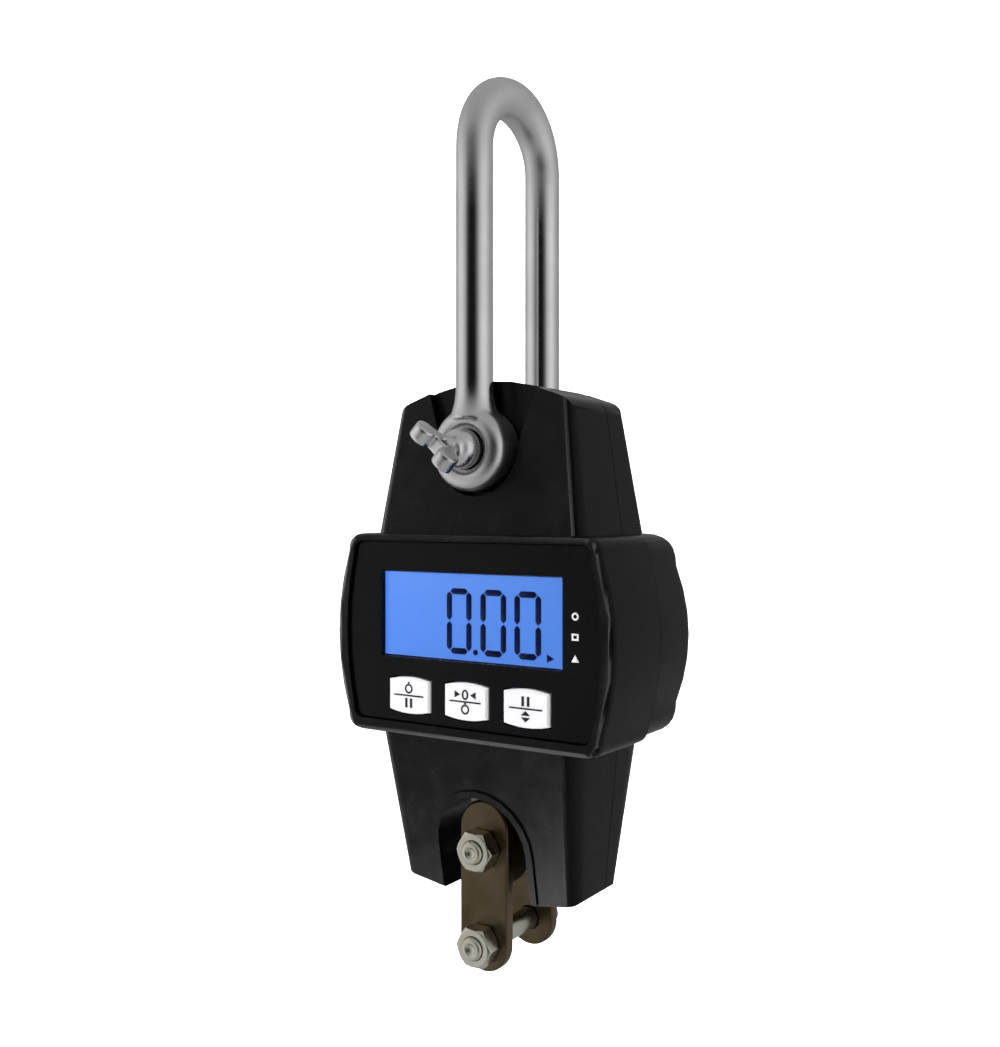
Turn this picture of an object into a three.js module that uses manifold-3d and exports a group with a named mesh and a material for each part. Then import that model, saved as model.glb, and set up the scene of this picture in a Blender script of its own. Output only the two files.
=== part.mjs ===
// A hanging digital scale: a shackle above, a battery-powered display box round a load cell, and a
// two-plate load link below. Millimetres, +Z up, display facing -Y.
// Heights in this file are measured from the middle of the display box. place() lowers every piece
// by BOW_TOP, so that the finished part's origin is the inside top of the shackle bow.
import * as THREE from 'three';
import { mergeVertices } from 'three/addons/utils/BufferGeometryUtils.js';
import Module from 'manifold-3d';

const wasm = await Module();
wasm.setup();

// ---- driving dimensions -------------------------------------------------------------------
const BOW_TOP = 113.7;
const GAP = 0.3;
const WALL = 2;

const SHACKLE = { rod: 4, bendRod: 4.6, legY: 13.8, eyeInner: 9.5, eyeOuter: 18.1, steps: 30 };
const EYE = { radius: 9, innerEdge: 1.2, outerEdge: 2.6 };
const PIN = { z: 40, radius: 4, end: 18.6, collar: 4.3, collarTip: -22.5 };
const PIN_SEAT = { radius: 5.3, depth: 1.2 };
const WING = { x: 3.9, y: -28.2, radius: 2.4, neck: 2.3, neckY: -23.9, thickness: 3.4, edge: 0.8 };
const WING_HOLE = { y: -25.9, radius: 0.9 };

const BOX = { front: -17.5, rear: 20, halfHeight: 22, cornerX: 32.5, bulge: 3, corner: 4 };
const BOX_REAR = { ...BOX, corner: 7 };
const BOX_EDGE = { front: 1.2, rear: 3.6 };
const PARTING = 3.3;
const UPPER = {
  low: { z: 14, halfWidth: 27.5, halfDepth: 15.72 },
  high: { z: 58, halfWidth: 21.14, halfDepth: 10.56 },
  top: { cornerX: 22.3, cornerZ: 50, apex: 55 },
};
const LOWER = {
  low: { z: -60, halfWidth: 21.69, halfDepth: 8.18 },
  high: { z: -14, halfWidth: 26.02, halfDepth: 16.85 },
  bottom: { cornerX: 22.2, cornerZ: -54.6, apex: -58.27 },
};
const BLOCK_CORNER = 3;
const POCKET = { radius: 10, floor: 9.3, shoulder: [11.5, 46], mouth: [14, 53], top: [17, 62] };
const NOTCH = { z: -45.6, radius: 11.3, bead: 1.5, beadHeight: 0.5, beadLowZ: -56 };

const PANEL = { z: 0.6, halfHeight: 19.6, cornerX: 30.2, bulge: 2, corner: 2.5 };
const PANEL_Y = [-16.7, -15.5];
const FRONT_WALL_Y = [-15.3, -13.5];
const WINDOW = { z: 4.4, width: 46.6, height: 18.9 };
const LCD = { width: 51, height: 24, glass: [-15.3, -13.3], light: [-13.1, -9.1] };
const BUTTON = { z: -13.2, pitch: 15, halfWidth: 5.5, sideZ: 3.3, apex: 4, front: -17.3 };
const BUTTON_FLANGE = { grow: 0.9, y: [-13.2, -12.3] };
const SWITCH = { side: 6, y: [-11.4, -9.1], well: -9.7, wellRadius: 1.9 };
const PLUNGER = { radius: 1.6, y: [-12.15, -10.6] };

const BOARD = { halfWidth: 29.8, halfHeight: 17.5, y: [-8.8, -7.2] };
const BOARD_SCREW = { x: 28.3, z: 15, boss: 2.2, shank: 0.9, head: 1.8 };
const CHIP = { side: 9, y: [-7.05, -5.9], x: -18, z: 6 };

const CELL_BODY = { halfWidth: 12, halfDepth: 5, shoulder: -29, neck: 7, lug: 9 };
const CELL_SLOT = { halfWidth: 4, z: [-14, 16] };
const GAUGE = { thickness: 0.6, halfDepth: 3, halfHeight: 5 };

const BATTERY = { radius: 5.25, length: 43.3, nub: 1.9, nubLength: 1.2, pitch: 10.9, y: 12.35 };
const CONTACT = { halfSide: 4, thickness: 0.4, x: 24.1 };
const SPRING = { wire: 0.25, wide: 3.6, narrow: 2, turns: 2 };
const TRAY = { floor: [5.5, 6.8], halfWidth: 28, halfHeight: 19, openX: 24.8, openZ: 16.4 };
const DOOR = { halfWidth: 26.2, halfHeight: 17.4, y: [18.2, 20], tongueX: 30.6, tongueZ: 3.6 };
const DOOR_SCREW = { x: 28, shank: 1.2, head: 2.2 };
const CASE_SCREW = { x: 17.5, upperZ: 30.5, lowerZ: -32.5, boss: 4.4, shank: 1.4, head: 2.7 };
const CASE_SCREW_Y = { seat: 9.4, headTop: 11.5, tip: -5.5 };

const LINK = { upperZ: -45.6, lowerZ: -66, archZ: -41.6, halfWidth: 6.2, inner: 8, outer: 10.5, edge: 0.4 };
const BOLT = { radius: 2.5, clearance: 0.3, tip: -15.4, flats: 8, headY: [10.7, 14.2] };
const NUT_Y = [-14.6, -10.7];

// ---- looks --------------------------------------------------------------------------------
const LOOKS = {
  blackPlastic: { color: 0x1b1b1d, roughness: 0.45, metalness: 0 },
  panelPlastic: { color: 0x0c0c0e, roughness: 0.3, metalness: 0 },
  whiteRubber: { color: 0xe9e9ec, roughness: 0.5, metalness: 0 },
  greyPlastic: { color: 0x55565a, roughness: 0.6, metalness: 0 },
  clear: { color: 0xb9cff2, roughness: 0.05, metalness: 0 },
  lcdBlue: { color: 0x4f8cff, roughness: 0.2, metalness: 0 },
  lightWhite: { color: 0xf3f6ff, roughness: 0.4, metalness: 0 },
  boardGreen: { color: 0x1d5a34, roughness: 0.5, metalness: 0 },
  chrome: { color: 0xc9cbcf, roughness: 0.12, metalness: 1 },
  alloy: { color: 0xb4b7ba, roughness: 0.35, metalness: 1 },
  zinc: { color: 0x8b7a55, roughness: 0.35, metalness: 1 },
  screwSteel: { color: 0x8f9194, roughness: 0.35, metalness: 1 },
  brass: { color: 0xc9a45a, roughness: 0.3, metalness: 1 },
  cellLabel: { color: 0x2c3d7a, roughness: 0.4, metalness: 0.2 },
  foil: { color: 0xc58b4a, roughness: 0.4, metalness: 0.6 },
  wire: { color: 0xb02a24, roughness: 0.5, metalness: 0 },
};

// ---- solids -------------------------------------------------------------------------------
function solid(geometry) {
  const bare = geometry.clone();
  bare.deleteAttribute('normal');
  bare.deleteAttribute('uv');
  const merged = mergeVertices(bare, 1e-4);
  const vertProperties = new Float32Array(merged.attributes.position.array);
  const triVerts = new Uint32Array(merged.index.array);
  return new wasm.Manifold(new wasm.Mesh({ numProp: 3, vertProperties, triVerts }));
}

function surface(manifold) {
  const mesh = manifold.getMesh();
  const geometry = new THREE.BufferGeometry();
  geometry.setAttribute('position', new THREE.BufferAttribute(mesh.vertProperties, 3));
  geometry.setIndex(new THREE.BufferAttribute(mesh.triVerts, 1));
  geometry.computeVertexNormals();
  return geometry;
}

const join = (...parts) => parts.reduce((whole, part) => whole.add(part));
const cut = (whole, ...tools) => tools.reduce((rest, tool) => rest.subtract(tool), whole);

const group = new THREE.Group();
group.name = 'hanging_scale';

function place(name, manifold, look) {
  const geometry = surface(manifold);
  geometry.translate(0, 0, -BOW_TOP);
  const mesh = new THREE.Mesh(geometry, new THREE.MeshStandardMaterial(LOOKS[look]));
  mesh.name = name;
  group.add(mesh);
}

// A front-view outline swept through the depth from y0 to y1, with its end edges rounded by edge.
function prism(outline, y0, y1, edge = 0, curveSegments = 6) {
  const geometry = new THREE.ExtrudeGeometry(outline, {
    depth: y1 - y0 - 2 * edge,
    bevelEnabled: edge > 0,
    bevelThickness: edge,
    bevelSize: edge,
    bevelOffset: -edge,
    bevelSegments: Math.ceil(edge),
    curveSegments,
  });
  geometry.rotateX(Math.PI / 2);
  geometry.translate(0, y1 - edge, 0);
  return solid(geometry);
}

function block(x, y, z) {
  const geometry = new THREE.BoxGeometry(x[1] - x[0], y[1] - y[0], z[1] - z[0]);
  geometry.translate((x[0] + x[1]) / 2, (y[0] + y[1]) / 2, (z[0] + z[1]) / 2);
  return solid(geometry);
}

function rod(radius, y, x = 0, z = 0, sides = 24) {
  const geometry = new THREE.CylinderGeometry(radius, radius, y[1] - y[0], sides);
  geometry.translate(x, (y[0] + y[1]) / 2, z);
  return solid(geometry);
}

// A profile of [radius, y] points turned about the line through (x, z) along Y.
function turned(profile, x = 0, z = 0, sides = 32) {
  const points = profile.map(([radius, y]) => new THREE.Vector2(radius, y));
  const geometry = new THREE.LatheGeometry(points, sides);
  geometry.translate(x, 0, z);
  return solid(geometry);
}

function tube(curve, radius, steps, sides) {
  const section = new THREE.Shape().absarc(0, 0, radius, 0, 2 * Math.PI);
  const options = { steps, curveSegments: sides, bevelEnabled: false, extrudePath: curve };
  return solid(new THREE.ExtrudeGeometry(section, options));
}

// ---- outlines in the front view -------------------------------------------------------------
// A rectangle with small round corners and barrel-shaped sides.
function barrelOutline({ z = 0, halfHeight, cornerX, bulge, corner }, inset = 0) {
  const x = cornerX - inset;
  const low = z - halfHeight + inset;
  const high = z + halfHeight - inset;
  const r = Math.max(corner - inset, 1);
  const outline = new THREE.Shape();
  outline.moveTo(-x + r, low);
  outline.lineTo(x - r, low);
  outline.quadraticCurveTo(x, low, x, low + r);
  outline.quadraticCurveTo(x + 2 * bulge, z, x, high - r);
  outline.quadraticCurveTo(x, high, x - r, high);
  outline.lineTo(-x + r, high);
  outline.quadraticCurveTo(-x, high, -x, high - r);
  outline.quadraticCurveTo(-x - 2 * bulge, z, -x, low + r);
  outline.quadraticCurveTo(-x, low, -x + r, low);
  return outline;
}

// A wide outline whose upper end is a shallow arch with rounded shoulders.
function archOutline({ cornerX, cornerZ, apex }, lowZ, inset = 0) {
  const x = cornerX - inset;
  const shoulder = cornerZ - inset;
  const startZ = shoulder + 1;
  const outline = new THREE.Shape();
  outline.moveTo(-40, lowZ);
  outline.lineTo(-40, shoulder - 8);
  outline.lineTo(-x - 0.5, shoulder - 3);
  outline.quadraticCurveTo(-x, shoulder, -x + 3, startZ);
  outline.quadraticCurveTo(0, 2 * (apex - inset) - startZ, x - 3, startZ);
  outline.quadraticCurveTo(x, shoulder, x + 0.5, shoulder - 3);
  outline.lineTo(40, shoulder - 8);
  outline.lineTo(40, lowZ);
  return outline;
}

// A wide outline whose lower end slopes straight down from each corner to the middle.
function slopeOutline({ cornerX, cornerZ, apex }, highZ, inset = 0) {
  const x = cornerX - inset;
  const corner = cornerZ + inset;
  const slope = (apex - cornerZ) / cornerX;
  const outline = new THREE.Shape();
  outline.moveTo(-40, highZ);
  outline.lineTo(-40, corner + 8);
  outline.lineTo(-x - 0.2, corner + 1.2);
  outline.quadraticCurveTo(-x, corner, -x + 1.2, corner + 1.2 * slope);
  outline.lineTo(0, apex + inset);
  outline.lineTo(x - 1.2, corner + 1.2 * slope);
  outline.quadraticCurveTo(x, corner, x + 0.2, corner + 1.2);
  outline.lineTo(40, corner + 8);
  outline.lineTo(40, highZ);
  return outline;
}

function rectangle(halfWidth, halfHeight, z = 0, corner = 0.6, x = 0) {
  const left = x - halfWidth;
  const right = x + halfWidth;
  const low = z - halfHeight;
  const high = z + halfHeight;
  const outline = new THREE.Shape();
  outline.moveTo(left + corner, low);
  outline.lineTo(right - corner, low);
  outline.quadraticCurveTo(right, low, right, low + corner);
  outline.lineTo(right, high - corner);
  outline.quadraticCurveTo(right, high, right - corner, high);
  outline.lineTo(left + corner, high);
  outline.quadraticCurveTo(left, high, left, high - corner);
  outline.lineTo(left, low + corner);
  outline.quadraticCurveTo(left, low, left + corner, low);
  return outline;
}

function buttonOutline(x, grow = 0) {
  const halfWidth = BUTTON.halfWidth + grow;
  const side = BUTTON.sideZ + grow;
  const control = 2 * (BUTTON.apex + grow) - side;
  const outline = new THREE.Shape();
  outline.moveTo(x - halfWidth, BUTTON.z - side);
  outline.quadraticCurveTo(x, BUTTON.z - control, x + halfWidth, BUTTON.z - side);
  outline.lineTo(x + halfWidth, BUTTON.z + side);
  outline.quadraticCurveTo(x, BUTTON.z + control, x - halfWidth, BUTTON.z + side);
  outline.lineTo(x - halfWidth, BUTTON.z - side);
  return outline;
}

// The slot for the load link: a half circle over straight sides that run out of the bottom.
function notchOutline(grow = 0) {
  const radius = NOTCH.radius + grow;
  const outline = new THREE.Shape();
  outline.moveTo(radius, NOTCH.z - 20);
  outline.lineTo(radius, NOTCH.z);
  outline.absarc(0, NOTCH.z, radius, 0, Math.PI, false);
  outline.lineTo(-radius, NOTCH.z - 20);
  return outline;
}

// The recess a shackle eye sits in: round at the pin, opening out towards the top.
function pocketOutline(grow = 0) {
  const radius = POCKET.radius + grow;
  const outline = new THREE.Shape();
  outline.absarc(0, PIN.z, radius, Math.PI, 2 * Math.PI, false);
  for (const [x, z] of [POCKET.shoulder, POCKET.mouth, POCKET.top]) {
    outline.lineTo(x + grow, z);
  }
  for (const [x, z] of [POCKET.top, POCKET.mouth, POCKET.shoulder]) {
    outline.lineTo(-x - grow, z);
  }
  outline.lineTo(-radius, PIN.z);
  return outline;
}

// ---- the case -------------------------------------------------------------------------------
// A round-cornered column whose width and depth change evenly from its low end to its high end.
function column({ low, high }, inset = 0) {
  const width = low.halfWidth - inset;
  const depth = low.halfDepth - inset;
  const section = rectangle(width, depth, 0, Math.max(BLOCK_CORNER - inset, 0.8));
  const height = high.z - low.z;
  const geometry = new THREE.ExtrudeGeometry(section, {
    depth: height,
    bevelEnabled: false,
    curveSegments: 6,
  });
  const position = geometry.attributes.position;
  for (let i = 0; i < position.count; i += 1) {
    const t = position.getZ(i) / height;
    const growX = 1 + t * ((high.halfWidth - inset) / width - 1);
    const growY = 1 + t * ((high.halfDepth - inset) / depth - 1);
    position.setXY(i, position.getX(i) * growX, position.getY(i) * growY);
  }
  geometry.translate(0, 0, low.z);
  return solid(geometry);
}

function upperBlock(inset = 0) {
  const outline = archOutline(UPPER.top, UPPER.low.z - 5, inset);
  return column(UPPER, inset).intersect(prism(outline, -25, 25));
}

function lowerBlock(inset = 0) {
  const outline = slopeOutline(LOWER.bottom, LOWER.high.z + 5, inset);
  return column(LOWER, inset).intersect(prism(outline, -25, 25));
}

function displayBox() {
  const front = prism(barrelOutline(BOX), BOX.front, PARTING + BOX_EDGE.front, BOX_EDGE.front);
  const rear = prism(barrelOutline(BOX_REAR), PARTING - BOX_EDGE.rear, BOX.rear, BOX_EDGE.rear);
  return join(front, rear);
}

// The raised bead that runs round the notch on both faces and stops above the bottom.
function notchBead() {
  const ring = cut(prism(notchOutline(NOTCH.bead), -25, 25), prism(notchOutline(), -26, 26));
  const above = block([-20, 20], [-25, 25], [NOTCH.beadLowZ, -20]);
  return ring.intersect(lowerBlock(-NOTCH.beadHeight)).intersect(above);
}

function hollow() {
  const box = prism(barrelOutline(BOX, WALL), FRONT_WALL_Y[1], BOX.rear - WALL);
  const upper = cut(
    upperBlock(WALL),
    prism(pocketOutline(WALL), -25, WALL - POCKET.floor),
    prism(pocketOutline(WALL), POCKET.floor - WALL, 25),
  );
  const lower = cut(lowerBlock(WALL), prism(notchOutline(WALL), -25, 25));
  return join(box, upper, lower);
}

const screwPlaces = [-1, 1].flatMap((side) => [
  { x: side * CASE_SCREW.x, z: CASE_SCREW.upperZ },
  { x: side * CASE_SCREW.x, z: CASE_SCREW.lowerZ },
]);
const boardPlaces = [-1, 1].flatMap((side) => [
  { x: side * BOARD_SCREW.x, z: BOARD_SCREW.z },
  { x: side * BOARD_SCREW.x, z: -BOARD_SCREW.z },
]);
const buttonPlaces = [-BUTTON.pitch, 0, BUTTON.pitch];

function caseBosses() {
  const bosses = screwPlaces.map(({ x, z }) => rod(CASE_SCREW.boss, [-12.5, 12.5], x, z));
  return join(...bosses).intersect(join(upperBlock(), lowerBlock()));
}

function boardBosses() {
  const y = [FRONT_WALL_Y[1] - 0.5, BOARD.y[0] - 0.15];
  return join(...boardPlaces.map(({ x, z }) => rod(BOARD_SCREW.boss, y, x, z, 20)));
}

function batteryTray() {
  const { floor, halfWidth, halfHeight, openX, openZ } = TRAY;
  const outer = block([-halfWidth, halfWidth], [floor[0], 18.4], [-halfHeight, halfHeight]);
  const boss = block([halfWidth - 1, 31.6], [12, 18.4], [-5, 5]);
  const bay = block([-openX, openX], [floor[1], 21], [-openZ, openZ]);
  return { body: join(outer, boss), bay };
}

function doorOutline(grow = 0) {
  const outline = rectangle(DOOR.halfWidth + grow, DOOR.halfHeight + grow, 0, 2);
  const tongue = rectangle(8, DOOR.tongueZ + grow, 0, 1, DOOR.tongueX + grow - 8);
  return [outline, tongue];
}

function doorSlab(grow, y0, y1) {
  return join(...doorOutline(grow).map((outline) => prism(outline, y0, y1)));
}

function wholeCase() {
  const tray = batteryTray();
  const outside = join(displayBox(), upperBlock(), lowerBlock(), notchBead());
  const shell = cut(
    outside,
    hollow(),
    prism(barrelOutline(PANEL, -0.2), -25, FRONT_WALL_Y[0]),
    prism(notchOutline(), -25, 25),
    prism(pocketOutline(), -25, -POCKET.floor),
    prism(pocketOutline(), POCKET.floor, 25),
    block([-CELL_BODY.neck - 0.5, CELL_BODY.neck + 0.5], [-5.6, 5.6], [-40, -28]),
  );
  const fitted = join(shell, caseBosses(), boardBosses(), tray.body);
  return cut(fitted, tray.bay, doorSlab(0.25, 18, 25), ...caseHoles());
}

function caseHoles() {
  const lcdHole = rectangle(LCD.width / 2 + GAP, LCD.height / 2 + GAP, WINDOW.z);
  const holes = [prism(lcdHole, -20, FRONT_WALL_Y[1] + 1), rod(PIN.radius + 0.4, [-20, 20], 0, PIN.z, 40)];
  for (const x of buttonPlaces) {
    holes.push(prism(buttonOutline(x, GAP), -20, FRONT_WALL_Y[1] + 1));
  }
  for (const { x, z } of screwPlaces) {
    holes.push(rod(CASE_SCREW.shank + 0.15, [CASE_SCREW_Y.tip - 1, 20], x, z));
    holes.push(rod(CASE_SCREW.head + GAP, [CASE_SCREW_Y.seat, 20], x, z));
  }
  for (const { x, z } of boardPlaces) {
    holes.push(rod(BOARD_SCREW.shank + 0.15, [-13, -8], x, z, 20));
  }
  holes.push(rod(DOOR_SCREW.shank + 0.15, [13.5, 19], DOOR_SCREW.x, 0, 20));
  return holes;
}

function buildCase() {
  const whole = wholeCase();
  const half = [-60, 60];
  place('front_case', whole.intersect(block(half, [-40, PARTING - 0.1], [-90, 90])), 'blackPlastic');
  place('rear_case', whole.intersect(block(half, [PARTING + 0.1, 40], [-90, 90])), 'blackPlastic');
}

// ---- display, buttons and board ---------------------------------------------------------------
function buildDisplay() {
  const panel = barrelOutline(PANEL);
  panel.holes.push(rectangle(WINDOW.width / 2, WINDOW.height / 2, WINDOW.z));
  for (const x of buttonPlaces) {
    panel.holes.push(buttonOutline(x, GAP));
  }
  place('front_panel', prism(panel, ...PANEL_Y), 'panelPlastic');
  const lens = rectangle(WINDOW.width / 2 - 0.15, WINDOW.height / 2 - 0.15, WINDOW.z);
  place('lcd_window', prism(lens, PANEL_Y[0] + 0.1, PANEL_Y[1]), 'clear');
  const glass = rectangle(LCD.width / 2, LCD.height / 2, WINDOW.z, 0.5);
  place('lcd_glass', prism(glass, ...LCD.glass), 'lcdBlue');
  place('backlight', prism(glass, ...LCD.light), 'lightWhite');
}

function buildButtons() {
  buttonPlaces.forEach((x, i) => {
    const cap = prism(buttonOutline(x), BUTTON.front, BUTTON_FLANGE.y[1], 0.4);
    const flange = prism(buttonOutline(x, BUTTON_FLANGE.grow), ...BUTTON_FLANGE.y);
    place(`button_${i + 1}`, join(cap, flange), 'whiteRubber');
    place(`switch_plunger_${i + 1}`, rod(PLUNGER.radius, PLUNGER.y, x, BUTTON.z, 20), 'greyPlastic');
    const half = SWITCH.side / 2;
    const body = block([x - half, x + half], SWITCH.y, [BUTTON.z - half, BUTTON.z + half]);
    const well = rod(SWITCH.wellRadius, [-12, SWITCH.well], x, BUTTON.z, 20);
    place(`switch_body_${i + 1}`, cut(body, well), 'greyPlastic');
  });
}

function buildBoard() {
  const board = rectangle(BOARD.halfWidth, BOARD.halfHeight, 0, 2);
  const holes = boardPlaces.map(({ x, z }) => rod(BOARD_SCREW.shank + GAP, [-10, -6], x, z, 20));
  place('circuit_board', cut(prism(board, ...BOARD.y), ...holes), 'boardGreen');
  const chip = rectangle(CHIP.side / 2, CHIP.side / 2, CHIP.z, 0.4, CHIP.x);
  place('main_chip', prism(chip, ...CHIP.y), 'panelPlastic');
  boardPlaces.forEach(({ x, z }, i) => {
    const shank = rod(BOARD_SCREW.shank, [-12.3, -7], x, z, 20);
    const head = rod(BOARD_SCREW.head, [-7.05, -5.9], x, z, 20);
    place(`board_screw_${i + 1}`, join(shank, head), 'screwSteel');
  });
}

// ---- load cell --------------------------------------------------------------------------------
function buildLoadCell() {
  const { halfWidth, halfDepth, shoulder, neck, lug } = CELL_BODY;
  const depth = [-halfDepth, halfDepth];
  const body = join(
    block([-halfWidth, halfWidth], depth, [shoulder, PIN.z]),
    rod(halfWidth, depth, 0, PIN.z, 48),
    block([-neck, neck], depth, [LINK.upperZ + 2, shoulder + 1]),
    rod(lug, depth, 0, LINK.upperZ, 48),
  );
  const [slotLow, slotHigh] = CELL_SLOT.z;
  const slot = join(
    block([-CELL_SLOT.halfWidth, CELL_SLOT.halfWidth], [-9, 9], [slotLow, slotHigh]),
    rod(CELL_SLOT.halfWidth, [-9, 9], 0, slotLow),
    rod(CELL_SLOT.halfWidth, [-9, 9], 0, slotHigh),
  );
  const pinHole = rod(PIN.radius + 0.25, [-9, 9], 0, PIN.z, 40);
  const boltHole = rod(BOLT.radius + BOLT.clearance, [-9, 9], 0, LINK.upperZ);
  place('load_cell', cut(body, slot, pinHole, boltHole), 'alloy');
  [['left', -1], ['right', 1]].forEach(([name, side]) => {
    const inner = side * (halfWidth + 0.1);
    const outer = side * (halfWidth + 0.1 + GAUGE.thickness);
    const x = [Math.min(inner, outer), Math.max(inner, outer)];
    const patch = block(x, [-GAUGE.halfDepth, GAUGE.halfDepth], [-GAUGE.halfHeight, GAUGE.halfHeight]);
    place(`strain_gauge_${name}`, patch, 'foil');
  });
  const path = new THREE.CatmullRomCurve3([
    new THREE.Vector3(13.4, 0, -2),
    new THREE.Vector3(16, 0.6, -4),
    new THREE.Vector3(18.4, -1.6, -7),
    new THREE.Vector3(18.6, -6.9, -8),
  ]);
  place('load_cell_cable', tube(path, 0.6, 16, 5), 'wire');
}

// ---- batteries --------------------------------------------------------------------------------
function lieAlongX(geometry, side) {
  geometry.rotateZ(side > 0 ? -Math.PI / 2 : Math.PI / 2);
  return geometry;
}

function buildCell(index, z, side) {
  const half = (BATTERY.length + BATTERY.nubLength) / 2;
  const shoulder = half - BATTERY.nubLength;
  const points = [
    [0, -half],
    [BATTERY.radius - 0.4, -half],
    [BATTERY.radius, -half + 0.4],
    [BATTERY.radius, shoulder - 0.4],
    [BATTERY.radius - 0.4, shoulder],
    [BATTERY.nub, shoulder],
    [BATTERY.nub, half],
    [0, half],
  ].map(([radius, y]) => new THREE.Vector2(radius, y));
  const geometry = lieAlongX(new THREE.LatheGeometry(points, 28), side);
  geometry.translate(0, BATTERY.y, z);
  place(`battery_cell_${index}`, solid(geometry), 'cellLabel');
}

function buildContacts(index, z, side) {
  const { halfSide, thickness, x } = CONTACT;
  const y = [BATTERY.y - halfSide, BATTERY.y + halfSide];
  const height = [z - halfSide, z + halfSide];
  const plate = side > 0 ? [x, x + thickness] : [-x - thickness, -x];
  place(`contact_plate_${index}`, block(plate, y, height), 'brass');
  const points = [];
  const steps = SPRING.turns * 12;
  for (let i = 0; i <= steps; i += 1) {
    const t = i / steps;
    const radius = SPRING.wide + t * (SPRING.narrow - SPRING.wide);
    const angle = t * SPRING.turns * 2 * Math.PI;
    const along = -side * (x - t * 1.3);
    const point = [along, BATTERY.y + radius * Math.cos(angle), z + radius * Math.sin(angle)];
    points.push(new THREE.Vector3(...point));
  }
  const coil = tube(new THREE.CatmullRomCurve3(points), SPRING.wire, steps, 3);
  place(`contact_spring_${index}`, coil, 'screwSteel');
}

function buildBatteries() {
  [BATTERY.pitch, 0, -BATTERY.pitch].forEach((z, i) => {
    const side = i === 1 ? -1 : 1;
    buildCell(i + 1, z, side);
    buildContacts(i + 1, z, side);
  });
}

function buildDoor() {
  const door = cut(
    doorSlab(0, ...DOOR.y),
    rod(DOOR_SCREW.shank + 0.15, [15, 22], DOOR_SCREW.x, 0, 20),
    rod(DOOR_SCREW.head + 0.2, [19, 22], DOOR_SCREW.x, 0, 24),
    ...[0, 1, 2, 3].map((i) => block([-8, 8], [19.4, 22], [-14 + 1.8 * i, -13.1 + 1.8 * i])),
  );
  place('battery_door', door, 'blackPlastic');
  const shank = rod(DOOR_SCREW.shank, [14.2, 19.2], DOOR_SCREW.x, 0, 20);
  const head = rod(DOOR_SCREW.head, [19.05, 19.85], DOOR_SCREW.x, 0, 24);
  place('door_screw', crossSlotted(join(shank, head), DOOR_SCREW.x, 0, 19.45), 'screwSteel');
}

function crossSlotted(screw, x, z, depth) {
  return cut(
    screw,
    block([x - 0.3, x + 0.3], [depth, depth + 9], [z - 1.4, z + 1.4]),
    block([x - 1.4, x + 1.4], [depth, depth + 9], [z - 0.3, z + 0.3]),
  );
}

function buildCaseScrews() {
  screwPlaces.forEach(({ x, z }, i) => {
    const shank = rod(CASE_SCREW.shank, [CASE_SCREW_Y.tip, CASE_SCREW_Y.seat + 0.3], x, z, 20);
    const head = rod(CASE_SCREW.head, [CASE_SCREW_Y.seat + 0.1, CASE_SCREW_Y.headTop], x, z, 24);
    const screw = crossSlotted(join(shank, head), x, z, CASE_SCREW_Y.headTop - 1);
    place(`case_screw_${i + 1}`, screw, 'screwSteel');
  });
}

// ---- shackle ------------------------------------------------------------------------------------
// A round boss whose two rims have their own rounding.
function eyeProfile(y0, y1, lowEdge, highEdge) {
  const quarter = (edge, centreY, from) => [0, 1, 2, 3, 4].map((i) => {
    const a = from + (i / 4) * (Math.PI / 2);
    return [EYE.radius - edge + edge * Math.cos(a), centreY + edge * Math.sin(a)];
  });
  return [
    [0, y0],
    ...quarter(lowEdge, y0 + lowEdge, -Math.PI / 2),
    ...quarter(highEdge, y1 - highEdge, 0),
    [0, y1],
  ];
}

// The bow's centre line: its first and last steps are the straight legs, the others share the bend.
class BowCurve extends THREE.Curve {
  constructor(legY, lowZ, centreZ, steps) {
    super();
    Object.assign(this, { legY, lowZ, centreZ, lead: 1 / steps });
  }

  getPoint(t) {
    const { legY, lowZ, centreZ, lead } = this;
    const fromEnd = Math.min(t, 1 - t);
    if (fromEnd < lead) {
      const z = lowZ + (fromEnd / lead) * (centreZ - lowZ);
      return new THREE.Vector3(0, t < 0.5 ? -legY : legY, z);
    }
    const angle = Math.PI * (1 - (t - lead) / (1 - 2 * lead));
    return new THREE.Vector3(0, legY * Math.cos(angle), centreZ + legY * Math.sin(angle));
  }

  getPointAt(u) {
    return this.getPoint(u);
  }

  getTangentAt(u) {
    return this.getTangent(u);
  }
}

// The rod grows evenly thicker from the ends of the bend to its top.
function thickenBend(rods, centreZ) {
  const { rod: radius, bendRod, legY } = SHACKLE;
  const position = rods.attributes.position;
  for (let i = 0; i < position.count; i += 1) {
    const [x, y, z] = [position.getX(i), position.getY(i), position.getZ(i)];
    if (z > centreZ) {
      const angle = Math.atan2(z - centreZ, y);
      const growth = 1 + (bendRod / radius - 1) * Math.sin(angle) ** 2;
      const [midY, midZ] = [legY * Math.cos(angle), centreZ + legY * Math.sin(angle)];
      position.setXYZ(i, x * growth, midY + (y - midY) * growth, midZ + (z - midZ) * growth);
    }
  }
}

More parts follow.
